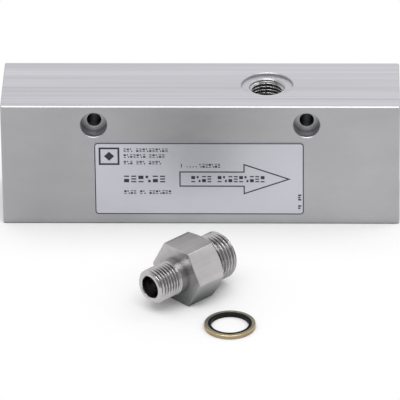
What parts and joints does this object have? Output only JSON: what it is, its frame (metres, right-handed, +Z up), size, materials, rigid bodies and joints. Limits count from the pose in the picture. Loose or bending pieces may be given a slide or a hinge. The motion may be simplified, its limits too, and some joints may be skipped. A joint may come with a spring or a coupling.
{
  "type": "flow meter block",
  "caption": "Rectangular stainless steel flow meter block with a flow channel from end to end, a tapped sensor port on top and a rating label, its nipple and bonded seal loose in front.",
  "frame": {"origin": "middle of the block's underside, where it stands", "axes": "+X along the flow, -Y out of the front that carries the label, +Z up out of the sensor port"},
  "size_m": [0.15, 0.1237, 0.05],
  "materials": {
    "block_steel": "milled satin",
    "label_foil": "smooth satin foil",
    "label_ink": "printed",
    "nipple_steel": "turned",
    "passivated_steel": "yellow passivated",
    "seal_rubber": "matte"
  },
  "bodies": {
    "root": {"meter_block": "block_steel", "rating_label": "label_foil", "label_print": "label_ink", "connection_nipple": "nipple_steel", "seal_ring": "passivated_steel", "seal_lip": "seal_rubber"}
  },
  "joints": []
}
